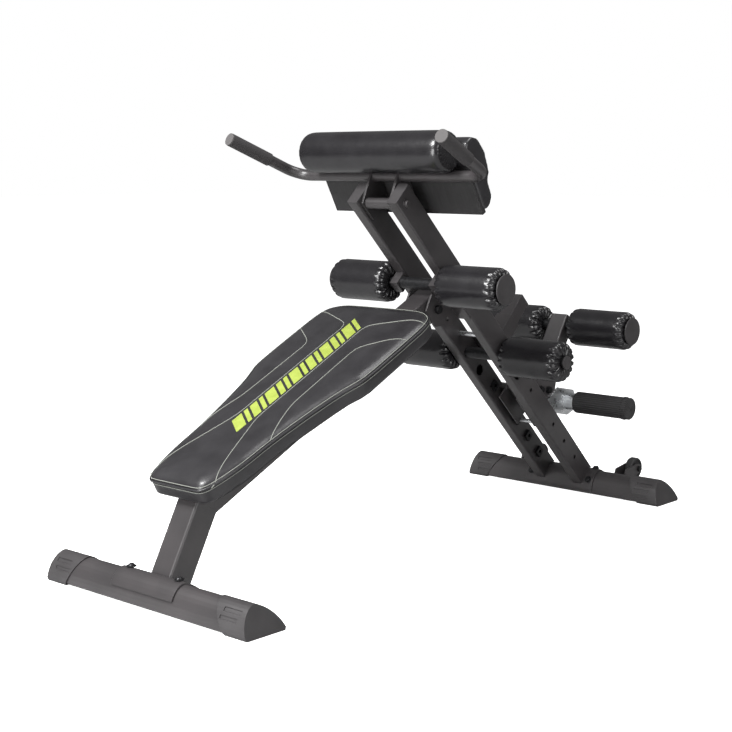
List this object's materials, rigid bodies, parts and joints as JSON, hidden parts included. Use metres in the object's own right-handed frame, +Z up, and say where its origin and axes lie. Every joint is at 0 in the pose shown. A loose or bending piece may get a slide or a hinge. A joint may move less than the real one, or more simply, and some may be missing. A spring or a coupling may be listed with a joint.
{
  "type": "decline sit-up bench",
  "caption": "Decline sit-up bench: sloping padded seat on a steel tube, twin rear beams with foam leg rollers, sliding foot carriage, hip pad and handlebar, transport wheels.",
  "frame": {"origin": "on the floor, under the middle of the bench's overall box", "axes": "+X from the front foot towards the rear foot, +Y to the left, +Z up"},
  "size_m": [1.5724, 0.6468, 0.927],
  "materials": {
    "powder_coated_steel": "satin charcoal powder coat",
    "dark_plastic": "fine textured black plastic",
    "black_rubber": "matt black rubber",
    "black_steel": "black steel",
    "zinc_plated_steel": "bright zinc plate",
    "grey_plastic": "grey end plugs",
    "painted_board": "black-painted plywood",
    "black_vinyl": "black leatherette over foam, slight sheen"
  },
  "bodies": {
    "frame": {"beam_left": "powder_coated_steel", "beam_right": "powder_coated_steel", "beam_caps": "dark_plastic", "top_spacer": "powder_coated_steel", "cross_rod": "zinc_plated_steel", "pin_bosses": "black_steel", "seat_bracket": "powder_coated_steel", "pivot_bolt": "black_steel", "rear_foot": "powder_coated_steel", "rear_foot_caps": "dark_plastic", "rear_foot_pads": "black_rubber", "rear_saddle": "powder_coated_steel", "rear_bolts": "black_steel", "wheel_brackets": "powder_coated_steel", "wheel_bolts": "black_steel", "upper_axle": "black_steel", "upper_axle_clamps": "powder_coated_steel", "upper_axle_caps": "dark_plastic", "lower_axle": "black_steel", "lower_axle_caps": "dark_plastic", "carry_post": "powder_coated_steel", "carry_post_sleeve": "powder_coated_steel", "carry_post_cap": "dark_plastic", "hip_bracket": "powder_coated_steel", "hip_board": "painted_board", "hip_roll": "black_vinyl", "hip_tail_pad": "black_vinyl", "handlebar": "powder_coated_steel", "hand_grips": "black_rubber", "handle_plugs": "grey_plastic"},
    "seat": {"front_foot": "powder_coated_steel", "front_foot_caps": "dark_plastic", "front_foot_pads": "black_rubber", "stem_saddle": "powder_coated_steel", "stem_bolts": "black_steel", "stem_tube": "powder_coated_steel", "seat_tube": "powder_coated_steel", "seat_tube_plug": "dark_plastic", "seat_board": "painted_board", "seat_pad": "black_vinyl", "seat_bolts": "black_steel", "pivot_bushes": "dark_plastic"},
    "foot_carriage": {"carriage": "powder_coated_steel", "peg_bracket": "zinc_plated_steel", "carriage_glides": "dark_plastic", "carriage_arm": "powder_coated_steel", "carriage_bolt": "black_steel", "rear_axle": "black_steel", "rear_axle_caps": "dark_plastic", "peg_tube": "zinc_plated_steel", "peg_sleeves": "black_rubber"},
    "support_pin_body": {"support_pin": "zinc_plated_steel"},
    "upper_roller_left_body": {"upper_roller_left": "black_vinyl"},
    "upper_roller_right_body": {"upper_roller_right": "black_vinyl"},
    "lower_roller_left_body": {"lower_roller_left": "black_vinyl"},
    "lower_roller_right_body": {"lower_roller_right": "black_vinyl"},
    "rear_roller_left_body": {"rear_roller_left": "black_vinyl"},
    "rear_roller_right_body": {"rear_roller_right": "black_vinyl"},
    "wheel_left_body": {"wheel_left": "black_rubber"},
    "wheel_right_body": {"wheel_right": "black_rubber"}
  },
  "joints": [
    {"name": "seat_fold", "type": "hinge", "parent": "frame", "child": "seat", "pos_m": [0.07643, 0, 0.52256], "axis": [0, -1, 0], "range_deg": [0, 95]},
    {"name": "carriage_slide", "type": "slide", "parent": "frame", "child": "foot_carriage", "axis": [-0.7071, 0, 0.7071], "range_m": [0, 0.07]},
    {"name": "support_pin_pull", "type": "slide", "parent": "frame", "child": "support_pin_body", "axis": [0, 1, 0], "range_m": [0, 0.15]},
    {"name": "upper_roller_left_spin", "type": "hinge", "parent": "frame", "child": "upper_roller_left_body", "pos_m": [0.05126, 0, 0.58195], "axis": [0, 1, 0], "continuous": true},
    {"name": "upper_roller_right_spin", "type": "hinge", "parent": "frame", "child": "upper_roller_right_body", "pos_m": [0.05126, 0, 0.58195], "axis": [0, 1, 0], "continuous": true},
    {"name": "lower_roller_left_spin", "type": "hinge", "parent": "frame", "child": "lower_roller_left_body", "pos_m": [0.29168, 0, 0.39669], "axis": [0, 1, 0], "continuous": true},
    {"name": "lower_roller_right_spin", "type": "hinge", "parent": "frame", "child": "lower_roller_right_body", "pos_m": [0.29168, 0, 0.39669], "axis": [0, 1, 0], "continuous": true},
    {"name": "rear_roller_left_spin", "type": "hinge", "parent": "foot_carriage", "child": "rear_roller_left_body", "pos_m": [0.62614, 0, 0.43841], "axis": [0, 1, 0], "continuous": true},
    {"name": "rear_roller_right_spin", "type": "hinge", "parent": "foot_carriage", "child": "rear_roller_right_body", "pos_m": [0.62614, 0, 0.43841], "axis": [0, 1, 0], "continuous": true},
    {"name": "wheel_left_spin", "type": "hinge", "parent": "frame", "child": "wheel_left_body", "pos_m": [0.75825, 0.15, 0.06], "axis": [0, 1, 0], "continuous": true},
    {"name": "wheel_right_spin", "type": "hinge", "parent": "frame", "child": "wheel_right_body", "pos_m": [0.75825, -0.15, 0.06], "axis": [0, 1, 0], "continuous": true}
  ]
}
